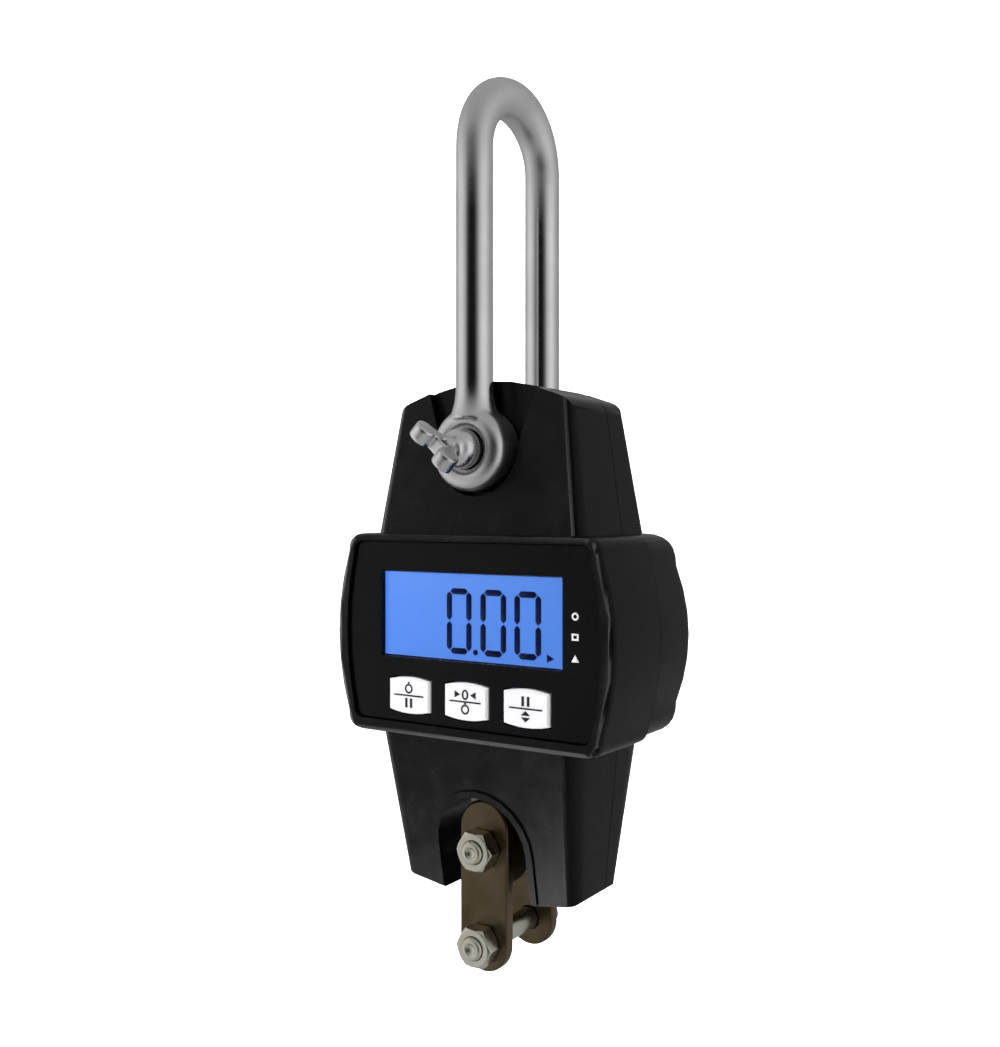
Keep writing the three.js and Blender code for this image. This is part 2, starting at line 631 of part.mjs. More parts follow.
function buildShackle() {
  const { rod: radius, legY, eyeInner, eyeOuter, steps } = SHACKLE;
  const centreZ = BOW_TOP - legY + SHACKLE.bendRod;
  const section = new THREE.Shape().absarc(0, 0, radius, 0, 2 * Math.PI);
  const extrudePath = new BowCurve(legY, PIN.z, centreZ, steps);
  const options = { steps, curveSegments: 10, bevelEnabled: false, extrudePath };
  const rods = new THREE.ExtrudeGeometry(section, options);
  thickenBend(rods, centreZ);
  const eyes = [
    eyeProfile(-eyeOuter, -eyeInner, EYE.outerEdge, EYE.innerEdge),
    eyeProfile(eyeInner, eyeOuter, EYE.innerEdge, EYE.outerEdge),
  ].map((profile) => turned(profile, 0, PIN.z));
  const drilled = cut(
    join(solid(rods), ...eyes),
    rod(PIN.radius + 0.2, [-30, 30], 0, PIN.z, 40),
    rod(PIN_SEAT.radius, [-30, PIN_SEAT.depth - eyeOuter], 0, PIN.z, 40),
  );
  place('shackle_bow', drilled, 'chrome');
}

function buildPin() {
  const { radius, end, collar, collarTip, z } = PIN;
  const seat = PIN_SEAT.depth - SHACKLE.eyeOuter;
  const shaft = turned([
    [0, end],
    [radius - 0.8, end],
    [radius, end - 0.8],
    [radius, seat - 0.6],
    [collar - 0.4, seat - 0.6],
    [collar, seat - 1],
    [collar, collarTip + 2.6],
    [collar * 0.86, collarTip + 1.1],
    [collar * 0.62, collarTip + 0.2],
    [2.6, collarTip - 0.3],
    [2.4, collarTip - 2],
    [0, collarTip - 2],
  ].reverse(), 0, z);
  const hole = rod(WING_HOLE.radius, [-4, 4]).rotate([90, 45, 0]).translate([0, WING_HOLE.y, z]);
  place('shackle_pin', cut(join(shaft, pinWings()), hole), 'chrome');
}

// Two round lobes on a shared neck, with a notch between them, in a plane that leans 45 degrees.
function wingOutline() {
  const { x, y, radius, neck, neckY } = WING;
  const inner = Math.PI / 18;
  const outer = Math.PI / 3;
  const outline = new THREE.Shape();
  outline.moveTo(-neck, neckY);
  outline.lineTo(-neck, neckY - 0.4);
  outline.lineTo(-x - radius * Math.cos(outer), y + radius * Math.sin(outer));
  outline.absarc(-x, y, radius, Math.PI - outer, 2 * Math.PI - inner, false);
  const notchX = x - radius * Math.cos(inner);
  const notchY = y - radius * Math.sin(inner);
  outline.quadraticCurveTo(0, notchY + 2, notchX, notchY);
  outline.absarc(x, y, radius, Math.PI + inner, 2 * Math.PI + outer, false);
  outline.lineTo(neck, neckY - 0.4);
  outline.lineTo(neck, neckY);
  return outline;
}

function pinWings() {
  const { thickness, edge } = WING;
  const wings = new THREE.ExtrudeGeometry(wingOutline(), {
    depth: thickness - 2 * edge,
    bevelThickness: edge,
    bevelSize: edge,
    bevelOffset: -edge,
    bevelSegments: 2,
    curveSegments: 10,
  });
  wings.translate(0, 0, edge - thickness / 2);
  wings.rotateY(Math.PI / 4);
  wings.translate(0, 0, PIN.z);
  return solid(wings);
}

// ---- load link ------------------------------------------------------------------------------------
function linkOutline() {
  const outline = new THREE.Shape();
  outline.absarc(0, LINK.archZ, LINK.halfWidth, 0, Math.PI, false);
  outline.absarc(0, LINK.lowerZ, LINK.halfWidth, Math.PI, 2 * Math.PI, false);
  outline.closePath();
  return outline;
}

function buildLinkPlates() {
  const holes = [LINK.upperZ, LINK.lowerZ].map((z) => rod(BOLT.radius + 0.2, [-20, 20], 0, z));
  const front = prism(linkOutline(), -LINK.outer, -LINK.inner, LINK.edge, 10);
  const rear = prism(linkOutline(), LINK.inner, LINK.outer, LINK.edge, 10);
  place('link_plate_front', cut(front, ...holes), 'zinc');
  place('link_plate_rear', cut(rear, ...holes), 'zinc');
}

// A hexagon across its flats, with the corners of both end faces taken off.
function hexagon(y, z, flats) {
  const across = flats / Math.cos(Math.PI / 6) / 2;
  const hex = rod(across, y, 0, 0, 6).rotate([0, 30, 0]).translate([0, 0, z]);
  const bevel = 0.6;
  const round = turned([
    [0, y[0]],
    [flats / 2 - 0.1, y[0]],
    [across + 0.05, y[0] + bevel],
    [across + 0.05, y[1] - bevel],
    [flats / 2 - 0.1, y[1]],
    [0, y[1]],
  ], 0, z, 24);
  return hex.intersect(round);
}

function buildFasteners(name, z) {
  const { radius, tip, flats, headY } = BOLT;
  const shank = turned([
    [0, tip + 0.6],
    [0.9, tip + 0.4],
    [1.3, tip],
    [radius - 0.4, tip],
    [radius, tip + 0.5],
    [radius, headY[0] + 0.5],
    [0, headY[0] + 0.5],
  ], 0, z, 24);
  place(`${name}_bolt`, join(shank, hexagon(headY, z, flats)), 'zinc');
  const bore = rod(radius + 0.1, [-40, 40], 0, z);
  place(`${name}_nut`, cut(hexagon(NUT_Y, z, flats), bore), 'zinc');
}

buildCase();
buildDisplay();
buildButtons();
buildBoard();
buildLoadCell();
buildBatteries();
buildDoor();
buildCaseScrews();
buildShackle();
buildPin();
buildLinkPlates();
buildFasteners('upper', LINK.upperZ);
buildFasteners('lower', LINK.lowerZ);

export default group;
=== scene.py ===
"""Looks for the hanging digital scale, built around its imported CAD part. Lengths here are in metres."""

import math

import bmesh
import bpy
from mathutils import Matrix, Vector


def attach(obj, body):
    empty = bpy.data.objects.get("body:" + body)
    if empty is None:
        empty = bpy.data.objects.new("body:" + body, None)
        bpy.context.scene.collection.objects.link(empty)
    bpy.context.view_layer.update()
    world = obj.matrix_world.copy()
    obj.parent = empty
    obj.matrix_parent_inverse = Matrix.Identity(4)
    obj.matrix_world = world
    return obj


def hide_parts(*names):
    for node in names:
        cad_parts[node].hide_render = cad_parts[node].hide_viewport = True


MM = 0.001
BOW_TOP = 113.7  # height of the frame's origin above the middle of the display box

# Driving dimensions in millimetres, heights measured from the middle of the display box.
PIN_Z = 40
SHACKLE = {"rod": 4.0, "bend_rod": 4.6, "leg_y": 13.8, "foot_z": 46.4, "flare": 1.5, "flare_z": 54}
BOW_ROWS = {"flare": 8, "leg": 30, "bend": 60}
EYE = {"radius": 9.0, "inner": 9.5, "outer": 18.1, "bore": 4.2, "seat": 5.3, "seat_depth": 1.2}
EYE_EDGE = {"inner": 1.2, "outer": 2.6, "bore": 0.4, "seat": 0.3}
PIN = {"radius": 4.0, "end": 18.6, "collar": 4.3, "tip": -22.5}
WING = {"x": 3.9, "y": -28.2, "radius": 2.4, "neck": 2.3, "neck_y": -23.6, "half": 1.7, "web_y": -27.4}
WING_HOLE = {"y": -25.9, "radius": 0.9}
# Voxel size and rounds of smoothing that melt each forging's solids together.
BOW_FORGE = (0.3, 12)
PIN_FORGE = (0.2, 36)
# Widths of the soft edges on the CAD nodes.
SHELL_EDGE = 0.25
SMALL_EDGE = 0.12
BEND_Z = BOW_TOP - SHACKLE["leg_y"] + SHACKLE["bend_rod"]
WINDOW = {"z": 4.4, "width": 46.6, "height": 18.9}
IMAGE_Y = (-15.44, -15.36)
MARK_Y = (-16.77, -16.71)
LEGEND_Y = (-17.37, -17.31)
KEY_X = {"key_1": -15, "key_2": 0, "key_3": 15}
KEY_Z = -13.2
DIGIT = {"half_width": 3.2, "half_height": 7.0, "z": 3.5, "bar": 1.3, "x": (-2.85, 5.9, 14.4)}
POINT = {"x": 1.4, "z": -2.9, "radius": 0.6}
POINTER = {"left": 19.0, "right": 20.7, "low": -3.75, "high": -2.05}
UNIT = {"x": 26.3, "z": (6.1, 2.0, -2.3)}
GLOW_HALF_WIDTH = 23
# Roughness up the bow, from the eyes (0) to its top (1).
BOW_FINISH = ((0.08, 0.34), (0.2, 0.13), (0.68, 0.13), (0.86, 0.42))

CAMERA = {"place": (138.82, -213.73, 27.61), "yaw": 33.5, "lens": 39.3, "shift_y": -0.0148}
DARK_SIDE = (math.sin(math.radians(17.5)), -math.cos(math.radians(17.5)), 0)
# Brightness of the room from opposite the dark side (0) round to the dark side (1).
ROOM = ((0, 0.32), (0.19, 0.4), (0.355, 0.6), (0.58, 0.86), (0.75, 0.73), (0.845, 0.5), (0.91, 0.19),
        (0.97, 0.015), (1, 0.005))
ROOM_POLES = 0.42  # brightness of the room straight up and straight down
BACKDROP = 0.9  # brightness of the room where it is seen directly
# Directions of four strips set round the front faces' mirror direction, for the rims of the case.
STRIPS = {"strip_left": (-0.96, -0.29, 0), "strip_right": (-0.06, -1, 0),
          "strip_low": (-0.55, -0.38, -0.74), "strip_high": (-0.55, -0.38, 0.74)}
STRIP = {"distance": 0.75, "width": 0.2, "length": 0.8, "power": 4.0}
# The floor in metres: its depth under the scale, and the sweep up to the wall behind.
FLOOR = {"drop": 0.45, "front": -3.0, "bend": 1.2, "sweep": 0.6, "half_width": 3.5, "height": 3.0}


def at(x, y, z):
    """A point given in millimetres from the middle of the display box."""
    return Vector((x, y, z - BOW_TOP)) * MM


# ---- materials ------------------------------------------------------------------------------
def shader(name, colour, roughness, metallic=0.0):
    material = bpy.data.materials.new(name)
    material.use_nodes = True
    bsdf = material.node_tree.nodes["Principled BSDF"]
    bsdf.inputs["Base Color"].default_value = (*colour, 1)
    bsdf.inputs["Roughness"].default_value = roughness
    bsdf.inputs["Metallic"].default_value = metallic
    return material, material.node_tree, bsdf


def noise(tree, scale, detail=4.0, stretch=(1, 1, 1)):
    """A noise field in the frame's metres, so its grain has a real size."""
    nodes = tree.nodes
    place = nodes.new("ShaderNodeTexCoord")
    mapping = nodes.new("ShaderNodeMapping")
    mapping.inputs["Scale"].default_value = stretch
    field = nodes.new("ShaderNodeTexNoise")
    field.inputs["Scale"].default_value = scale
    field.inputs["Detail"].default_value = detail
    tree.links.new(place.outputs["Object"], mapping.inputs["Vector"])
    tree.links.new(mapping.outputs["Vector"], field.inputs["Vector"])
    return field.outputs["Fac"]


def remap(tree, value, low, high, new_low, new_high):
    node = tree.nodes.new("ShaderNodeMapRange")
    node.inputs["From Min"].default_value = low
    node.inputs["From Max"].default_value = high
    node.inputs["To Min"].default_value = new_low
    node.inputs["To Max"].default_value = new_high
    tree.links.new(value, node.inputs["Value"])
    return node.outputs["Result"]


def bump(tree, bsdf, height, strength, distance):
    node = tree.nodes.new("ShaderNodeBump")
    node.inputs["Strength"].default_value = strength
    node.inputs["Distance"].default_value = distance * MM
    tree.links.new(height, node.inputs["Height"])
    tree.links.new(node.outputs["Normal"], bsdf.inputs["Normal"])


def tint(tree, bsdf, field, dark, light):
    ramp = tree.nodes.new("ShaderNodeValToRGB")
    ramp.color_ramp.elements[0].color = (*dark, 1)
    ramp.color_ramp.elements[0].position = 0.3
    ramp.color_ramp.elements[1].color = (*light, 1)
    ramp.color_ramp.elements[1].position = 0.7
    tree.links.new(field, ramp.inputs["Fac"])
    tree.links.new(ramp.outputs["Color"], bsdf.inputs["Base Color"])


def moulded_plastic(name, dark, light, rough, grain, depth, specular=0.4):
    material, tree, bsdf = shader(name, light, rough)
    bsdf.inputs["Specular IOR Level"].default_value = specular
    tint(tree, bsdf, noise(tree, 60), dark, light)
    spread = remap(tree, noise(tree, 220), 0.3, 0.7, rough - 0.05, rough + 0.06)
    tree.links.new(spread, bsdf.inputs["Roughness"])
    bump(tree, bsdf, noise(tree, grain, 2), 0.35, depth)
    return material


def polished_metal(name, dark, light, rough, stretch, depth=0.004):
    material, tree, bsdf = shader(name, light, rough, 1.0)
    tint(tree, bsdf, noise(tree, 90, 5), dark, light)
    brushed = noise(tree, 700, 3, stretch)
    tree.links.new(remap(tree, brushed, 0.3, 0.7, rough - 0.03, rough + 0.06), bsdf.inputs["Roughness"])
    bump(tree, bsdf, brushed, 0.25, depth)
    return material


def forged_steel(name, dark, light):
    """Polished along the straight legs, satin at the eyes below and over the bend above."""
    material, tree, bsdf = shader(name, light, 0.2, 1.0)
    tint(tree, bsdf, noise(tree, 90, 5), dark, light)
    place = tree.nodes.new("ShaderNodeTexCoord")
    split = tree.nodes.new("ShaderNodeSeparateXYZ")
    tree.links.new(place.outputs["Object"], split.inputs["Vector"])
    along = remap(tree, split.outputs["Z"], at(0, 0, PIN_Z).z, at(0, 0, BOW_TOP).z, 0, 1)
    finish = tree.nodes.new("ShaderNodeValToRGB")
    finish.color_ramp.elements[0].position = BOW_FINISH[0][0]
    finish.color_ramp.elements[1].position = BOW_FINISH[-1][0]
    for position, _ in BOW_FINISH[1:-1]:
        finish.color_ramp.elements.new(position)
    for element, (_, level) in zip(finish.color_ramp.elements, BOW_FINISH):
        element.color = (level, level, level, 1)
    tree.links.new(along, finish.inputs["Fac"])
    grain = tree.nodes.new("ShaderNodeMath")
    grain.operation = "ADD"
    tree.links.new(finish.outputs["Color"], grain.inputs[0])
    tree.links.new(remap(tree, noise(tree, 500, 3), 0.3, 0.7, -0.02, 0.03), grain.inputs[1])
    tree.links.new(grain.outputs["Value"], bsdf.inputs["Roughness"])
    bump(tree, bsdf, noise(tree, 320, 4), 0.2, 0.01)
    return material


def lit_display(name):
    """The backlit display: even blue light, a little deeper towards the right."""
    material, tree, bsdf = shader(name, (0.02, 0.06, 0.2), 0.25)
    place = tree.nodes.new("ShaderNodeTexCoord")
    split = tree.nodes.new("ShaderNodeSeparateXYZ")
    tree.links.new(place.outputs["Object"], split.inputs["Vector"])
    across = remap(tree, split.outputs["X"], -GLOW_HALF_WIDTH * MM, GLOW_HALF_WIDTH * MM, 0, 1)
    ramp = tree.nodes.new("ShaderNodeValToRGB")
    ramp.color_ramp.elements[0].color = (0.078, 0.25, 0.86, 1)
    ramp.color_ramp.elements[1].color = (0.052, 0.195, 0.68, 1)
    tree.links.new(across, ramp.inputs["Fac"])
    tree.links.new(ramp.outputs["Color"], bsdf.inputs["Emission Color"])
    bsdf.inputs["Emission Strength"].default_value = 0.82
    return material


def clear_window(name):
    material, tree, bsdf = shader(name, (0.97, 0.98, 1.0), 0.03)
    bsdf.inputs["Transmission Weight"].default_value = 1.0
    bsdf.inputs["IOR"].default_value = 1.07
    tint(tree, bsdf, noise(tree, 40), (0.95, 0.96, 0.99), (0.98, 0.985, 1.0))
    return material


CASE = moulded_plastic("case_black", (0.0012, 0.0012, 0.0014), (0.002, 0.002, 0.0023), 0.24, 2600,
                       0.012, 0.11)
PANEL = moulded_plastic("panel_black", (0.002, 0.002, 0.0024), (0.003, 0.003, 0.0035), 0.22, 1500,
                        0.006, 0.12)
WHITE = moulded_plastic("key_white", (0.8, 0.8, 0.81), (0.87, 0.87, 0.88), 0.42, 1800, 0.01)
GREY = moulded_plastic("switch_grey", (0.25, 0.25, 0.27), (0.33, 0.33, 0.35), 0.5, 1500, 0.01)
LEGEND = moulded_plastic("legend_dark", (0.012, 0.012, 0.02), (0.02, 0.02, 0.03), 0.45, 1500, 0.002)
MARK = moulded_plastic("mark_white", (0.7, 0.7, 0.72), (0.8, 0.8, 0.82), 0.45, 1500, 0.002)
NAVY = moulded_plastic("display_navy", (0.002, 0.005, 0.04), (0.003, 0.008, 0.06), 0.4, 1500, 0.002, 0.08)
GREEN = moulded_plastic("board_green", (0.01, 0.07, 0.025), (0.02, 0.11, 0.04), 0.35, 1200, 0.01)
JACKET = moulded_plastic("cell_jacket", (0.02, 0.035, 0.14), (0.03, 0.05, 0.2), 0.25, 1200, 0.004)
RED = moulded_plastic("wire_red", (0.3, 0.02, 0.015), (0.4, 0.03, 0.02), 0.4, 1500, 0.01)
GUIDE = moulded_plastic("light_guide", (0.8, 0.82, 0.9), (0.9, 0.92, 1.0), 0.3, 1500, 0.002)
STEEL = forged_steel("shackle_steel", (0.64, 0.64, 0.64), (0.74, 0.74, 0.74))
SATIN = polished_metal("pin_satin", (0.66, 0.66, 0.66), (0.78, 0.78, 0.78), 0.25, (1, 1, 1), 0.003)
ALLOY = polished_metal("cell_alloy", (0.4, 0.38, 0.33), (0.52, 0.5, 0.44), 0.3, (3, 3, 0.2))
ZINC = polished_metal("plate_zinc", (0.1, 0.072, 0.04), (0.165, 0.13, 0.085), 0.36, (3, 3, 0.2), 0.008)
NUTS = polished_metal("nut_zinc", (0.55, 0.53, 0.44), (0.7, 0.68, 0.58), 0.25, (1, 1, 1))
SCREW = polished_metal("screw_steel", (0.35, 0.35, 0.35), (0.48, 0.48, 0.48), 0.3, (1, 1, 1))
BRASS = polished_metal("contact_brass", (0.55, 0.4, 0.16), (0.7, 0.52, 0.24), 0.28, (1, 1, 1))
FOIL = polished_metal("gauge_foil", (0.45, 0.26, 0.1), (0.6, 0.36, 0.16), 0.35, (1, 1, 1))
DISPLAY = lit_display("display_blue")
CLEAR = clear_window("window_clear")

NODE_LOOKS = {
    "front_case": CASE, "rear_case": CASE, "battery_door": CASE, "front_panel": PANEL,
    "lcd_window": CLEAR, "lcd_glass": DISPLAY, "backlight": GUIDE, "circuit_board": GREEN,
    "main_chip": PANEL, "load_cell": ALLOY, "load_cell_cable": RED,
    "button": WHITE, "switch": GREY, "strain_gauge": FOIL, "battery_cell": JACKET,
    "contact_plate": BRASS, "contact_spring": SCREW, "board_screw": SCREW, "case_screw": SCREW,
    "door_screw": SCREW, "shackle": STEEL, "link_plate": ZINC, "upper": NUTS, "lower": NUTS,
}


# ---- CAD nodes that keep their shape ----------------------------------------------------------
def look_for(name):
    fits = [key for key in NODE_LOOKS if name.startswith(key)]
    return NODE_LOOKS[max(fits, key=len)]


def even_surface():
    """A modifier's node group: joins doubled corners and shades every face smooth."""
    group = bpy.data.node_groups.new("even_surface", "GeometryNodeTree")
    group.interface.new_socket("Geometry", in_out="INPUT", socket_type="NodeSocketGeometry")
    group.interface.new_socket("Geometry", in_out="OUTPUT", socket_type="NodeSocketGeometry")
    source = group.nodes.new("NodeGroupInput")
    normals = group.nodes.new("GeometryNodeSetMeshNormal")
    normals.mode = "SHARPNESS"
    normals.inputs["Remove Custom"].default_value = True
    weld = group.nodes.new("GeometryNodeMergeByDistance")
    weld.inputs["Distance"].default_value = 2e-6
    smooth = group.nodes.new("GeometryNodeSetShadeSmooth")
    result = group.nodes.new("NodeGroupOutput")
    group.links.new(source.outputs[0], normals.inputs["Mesh"])
    group.links.new(normals.outputs[0], weld.inputs["Geometry"])
    group.links.new(weld.outputs[0], smooth.inputs["Geometry"])
    group.links.new(smooth.outputs[0], result.inputs[0])
    return group


def soften(piece, edge):
    bevel = piece.modifiers.new("soft_edge", "BEVEL")
    bevel.width = edge * MM
    bevel.segments = 2
    bevel.limit_method = "ANGLE"
    bevel.angle_limit = math.radians(32)
    piece.modifiers.new("even_shading", "WEIGHTED_NORMAL").keep_sharp = True


def dress_nodes(nodes):
    """Gives every CAD node its finish and soft edges, by materials and modifiers only."""
    group = even_surface()
    for name, node in nodes.items():
        for slot in node.material_slots:
            slot.material = look_for(name)
        node.modifiers.new("even_surface", "NODES").node_group = group
        soften(node, SHELL_EDGE if "case" in name or "plate" in name else SMALL_EDGE)


# ---- mesh work ----------------------------------------------------------------------------------
def piece_from(name, mesh_data, look, body):
    """Turns finished mesh data into a piece that rides on a body."""
    mesh = bpy.data.meshes.new(name)
    bmesh.ops.recalc_face_normals(mesh_data, faces=mesh_data.faces)
    mesh_data.to_mesh(mesh)
    mesh_data.free()
    mesh.materials.append(look)
    mesh.polygons.foreach_set("use_smooth", [True] * len(mesh.polygons))
    piece = bpy.data.objects.new(name, mesh)
    bpy.context.scene.collection.objects.link(piece)
    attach(piece, body)
    return piece


def join_rings(data, rings, closed):
    """Faces between neighbouring rings of vertices; open rows of rings get end caps."""
    pairs = list(zip(rings, rings[1:]))
    if closed:
        pairs.append((rings[-1], rings[0]))
    for low, high in pairs:
        for i in range(len(low)):
            j = (i + 1) % len(low)
            data.faces.new((low[i], low[j], high[j], high[i]))
    if not closed:
        data.faces.new(rings[0])
        data.faces.new(rings[-1])


def turned(data, profile, closed, sides=64):
    """Turns a profile of (radius, along) points about the pin's axis."""
    rings = []
    for radius, along in profile:
        ring = []
        for i in range(sides):
            angle = 2 * math.pi * i / sides
            height = PIN_Z + radius * math.sin(angle)
            ring.append(data.verts.new(at(radius * math.cos(angle), along, height)))
        rings.append(ring)
    join_rings(data, rings, closed)


def arc(centre, radius, start, end, steps=6):
    """Points on an arc in a profile, angles in degrees."""
    angles = [math.radians(start + (end - start) * i / steps) for i in range(steps + 1)]
    return [(centre[0] + radius * math.cos(a), centre[1] + radius * math.sin(a)) for a in angles]


def forge(piece, voxel, rounds):
    """Melts overlapping solids into one and rounds the inner corners between them."""
    melt = piece.modifiers.new("melt", "REMESH")
    melt.mode = "VOXEL"
    melt.voxel_size = voxel * MM
    melt.use_smooth_shade = True
    blend = piece.modifiers.new("blend", "SMOOTH")
    blend.factor = 0.5
    blend.iterations = rounds


# ---- shackle and pin ----------------------------------------------------------------------------
def rod_rings(data, sides=48):
    """The bow: up the front leg, over the thickened bend and down the rear leg."""
    leg_y, rod = SHACKLE["leg_y"], SHACKLE["rod"]
    foot, flare_z = SHACKLE["foot_z"], SHACKLE["flare_z"]
    flare_rows, leg_rows, bend_rows = BOW_ROWS["flare"], BOW_ROWS["leg"], BOW_ROWS["bend"]
    leg = [foot + (flare_z - foot) * i / flare_rows for i in range(flare_rows)]
    leg += [flare_z + (BEND_Z - flare_z) * i / leg_rows for i in range(leg_rows)]
    front = [(-leg_y, z, 180, rod + flare_at(z)) for z in leg]
    bend = []
    for i in range(bend_rows + 1):
        outward = 180 - 180 * i / bend_rows
        angle = math.radians(outward)
        radius = rod + (SHACKLE["bend_rod"] - rod) * math.sin(angle) ** 2
        spot = (leg_y * math.cos(angle), BEND_Z + leg_y * math.sin(angle))
        bend.append((*spot, outward, radius))
    rear = [(leg_y, z, 0, radius) for _, z, _, radius in reversed(front)]
    rings = []
    for y, z, outward, radius in front + bend + rear:
        out_y, out_z = math.cos(math.radians(outward)), math.sin(math.radians(outward))
        ring = []
        for i in range(sides):
            angle = 2 * math.pi * i / sides
            reach = radius * math.sin(angle)
            place = at(radius * math.cos(angle), y + reach * out_y, z + reach * out_z)
            ring.append(data.verts.new(place))
        rings.append(ring)
    join_rings(data, rings, False)


def flare_at(z):
    """How much a leg thickens towards its eye at a height."""
    t = max(0.0, (SHACKLE["flare_z"] - z) / (SHACKLE["flare_z"] - SHACKLE["foot_z"]))
    return SHACKLE["flare"] * t * t


def eye_profile(has_seat):
    """Half the cut through an eye, from its inner face round to its outer one."""
    inner, outer, radius, bore = EYE["inner"], EYE["outer"], EYE["radius"], EYE["bore"]
    inner_edge, outer_edge, bore_edge = EYE_EDGE["inner"], EYE_EDGE["outer"], EYE_EDGE["bore"]
    profile = [(bore, inner + bore_edge), (bore + bore_edge, inner)]
    profile += arc((radius - inner_edge, inner + inner_edge), inner_edge, -90, 0)
    profile += arc((radius - outer_edge, outer - outer_edge), outer_edge, 0, 90)
    if has_seat:
        profile += [(EYE["seat"] + EYE_EDGE["seat"], outer), (EYE["seat"], outer - EYE_EDGE["seat"])]
        profile += [(EYE["seat"], outer - EYE["seat_depth"]), (bore, outer - EYE["seat_depth"])]
    else:
        profile += [(bore + bore_edge, outer), (bore, outer - bore_edge)]
    return profile


def build_shackle():
    data = bmesh.new()
    rod_rings(data)
    front = [(radius, -along) for radius, along in eye_profile(True)]
    turned(data, front, True)
    turned(data, eye_profile(False), True)
    bow = piece_from("forged_bow", data, STEEL, "shackle")
    forge(bow, *BOW_FORGE)
    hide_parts("shackle_bow")


def build_pin():
    data = bmesh.new()
    radius, collar, tip = PIN["radius"], PIN["collar"], PIN["tip"]
    seat = EYE["seat_depth"] - EYE["outer"]
    shaft = [(0.01, PIN["end"]), (radius - 0.8, PIN["end"]), (radius, PIN["end"] - 0.8)]
    shaft += [(radius, seat - 0.6), (collar, seat - 0.9), (collar, tip + 2.6)]
    shaft += [(collar * 0.88, tip + 1.2), (collar * 0.66, tip + 0.3), (2.6, tip - 0.2), (2.3, tip - 2)]
    shaft += [(0.01, tip - 2)]
    turned(data, shaft, False)
    add_wings(data)
    pin = piece_from("wing_pin", data, SATIN, "pin")
    forge(pin, *PIN_FORGE)
    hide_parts("shackle_pin")


def add_wings(data):
    """The pin's head: two round lobes and the bars of the web between them, round a small hole."""
    x, y, radius, half = WING["x"], WING["y"], WING["radius"], WING["half"]
    neck, neck_y, web_y = WING["neck"], WING["neck_y"], WING["web_y"]
    hole_y, hole = WING_HOLE["y"], WING_HOLE["radius"]
    shapes = [circle(side * x, y, radius) for side in (-1, 1)]
    throat = neck + 0.8
    shapes.append([(-neck, neck_y), (neck, neck_y), (throat, hole_y + hole), (-throat, hole_y + hole)])
    shapes.append([(-x, web_y), (x, web_y), (x, hole_y - hole), (-x, hole_y - hole)])
    for side in (-1, 1):
        outer = x + 0.5 * radius
        shapes.append([(side * hole, hole_y + hole), (side * throat, hole_y + hole),
                       (side * outer, y + 0.8 * radius), (side * outer, web_y), (side * hole, web_y)])
    lean = Matrix.Rotation(math.radians(45), 3, "Y")
    for shape in shapes:
        rings = []
        for depth in (-half, half):
            spots = [lean @ Vector((u, v, depth)) for u, v in shape]
            rings.append([data.verts.new(at(*(spot + Vector((0, 0, PIN_Z))))) for spot in spots])
        join_rings(data, rings, False)


# ---- printed and displayed marks ------------------------------------------------------------------
def slab(data, loop, y):
    """A flat shape of (x, z) points given a thickness from y[0] to y[1]."""
    front = [data.verts.new(at(x, y[0], z)) for x, z in loop]
    back = [data.verts.new(at(x, y[1], z)) for x, z in loop]
    join_rings(data, [front, back], False)


def ring_slab(data, outer, inner, y):
    """A flat ring between two loops with the same number of points."""
    rings = []
    for loop, depth in ((outer, y[0]), (inner, y[0]), (inner, y[1]), (outer, y[1])):
        rings.append([data.verts.new(at(x, depth, z)) for x, z in loop])
    join_rings(data, rings, True)


def rectangle(x, z, half_width, half_height):
    corners = ((-1, -1), (1, -1), (1, 1), (-1, 1))
    return [(x + half_width * i, z + half_height * j) for i, j in corners]


def circle(x, z, radius, sides=32):
    angles = [2 * math.pi * i / sides for i in range(sides)]
    return [(x + radius * math.cos(a), z + radius * math.sin(a)) for a in angles]


def segment(x, z, half_length, half_bar, upright):
    """One bar of a figure, pointed at both ends."""
    body = half_length - half_bar
    loop = [(-half_length, 0), (-body, -half_bar), (body, -half_bar)]
    loop += [(half_length, 0), (body, half_bar), (-body, half_bar)]
    return [(x + v, z + u) if upright else (x + u, z + v) for u, v in loop]


def build_image():
    """The figures 0.00 with their point, a small pointer and a thin dark border."""
    data = bmesh.new()
    wide, high, bar = DIGIT["half_width"], DIGIT["half_height"], DIGIT["bar"] / 2
    z = DIGIT["z"]
    for x in DIGIT["x"]:
        for side in (-1, 1):
            slab(data, segment(x, z + side * (high - bar), wide - 2 * bar + 0.35, bar, False), IMAGE_Y)
            for half in (-1, 1):
                upright = segment(x + side * (wide - bar), z + half * (high - bar) / 2,
                                  (high - bar) / 2 - 0.12, bar, True)
                slab(data, upright, IMAGE_Y)
    slab(data, circle(POINT["x"], POINT["z"], POINT["radius"], 16), IMAGE_Y)
    left, right, low, high = (POINTER[key] for key in ("left", "right", "low", "high"))
    slab(data, [(left, low), (right, (low + high) / 2), (left, high)], IMAGE_Y)
    half_width, half_height = WINDOW["width"] / 2, WINDOW["height"] / 2
    outer = rectangle(0, WINDOW["z"], half_width + 2, half_height + 2)
    inner = rectangle(0, WINDOW["z"], half_width - 0.3, half_height - 0.3)
    ring_slab(data, outer, inner, IMAGE_Y)
    piece_from("display_image", data, NAVY, "housing")


